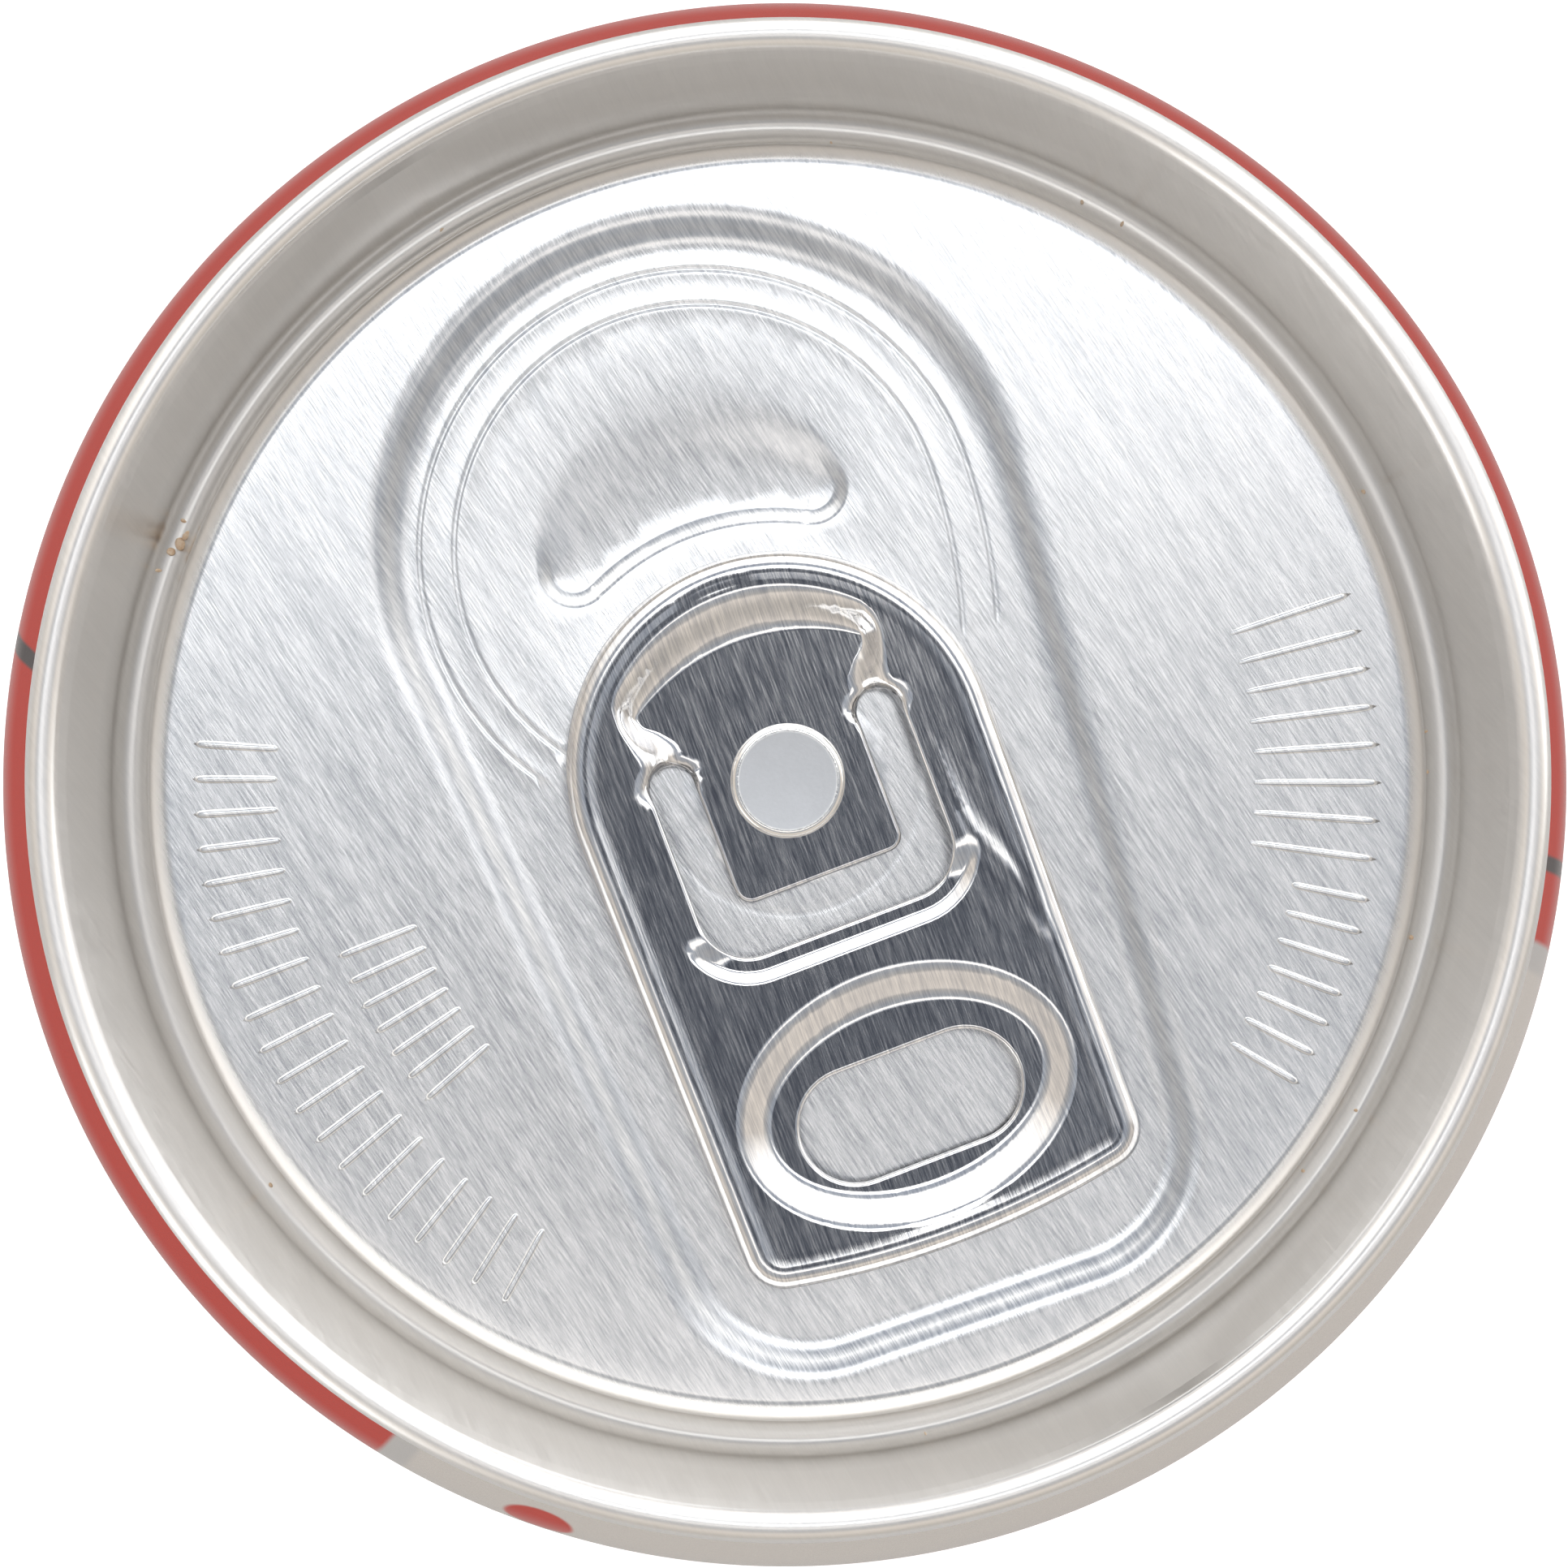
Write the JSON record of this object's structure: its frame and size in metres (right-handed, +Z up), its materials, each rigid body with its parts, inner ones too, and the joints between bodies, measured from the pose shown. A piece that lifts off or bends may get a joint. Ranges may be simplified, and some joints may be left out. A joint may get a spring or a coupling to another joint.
{
  "type": "drinks can",
  "caption": "Shut slim drinks can with a rolled rim, pressed lid, rivet and stay-on tab, printed in plain red and silver fields.",
  "frame": {"origin": "middle of the ring that the can stands on, at ground height", "axes": "+Z up through the middle of the lid, +Y towards the tab's nose and the mouth, +X to the right of the mouth"},
  "size_m": [0.0574, 0.0574, 0.156],
  "materials": {
    "can_print": "gloss print over drawn aluminium, with plain red and silver fields",
    "lid_metal": "clear-coated rolled sheet with fine rolling streaks",
    "tab_metal": "bright rolled sheet with fine rolling streaks"
  },
  "bodies": {
    "root": {"body": "can_print", "end": "lid_metal", "tab": "tab_metal"}
  },
  "joints": []
}
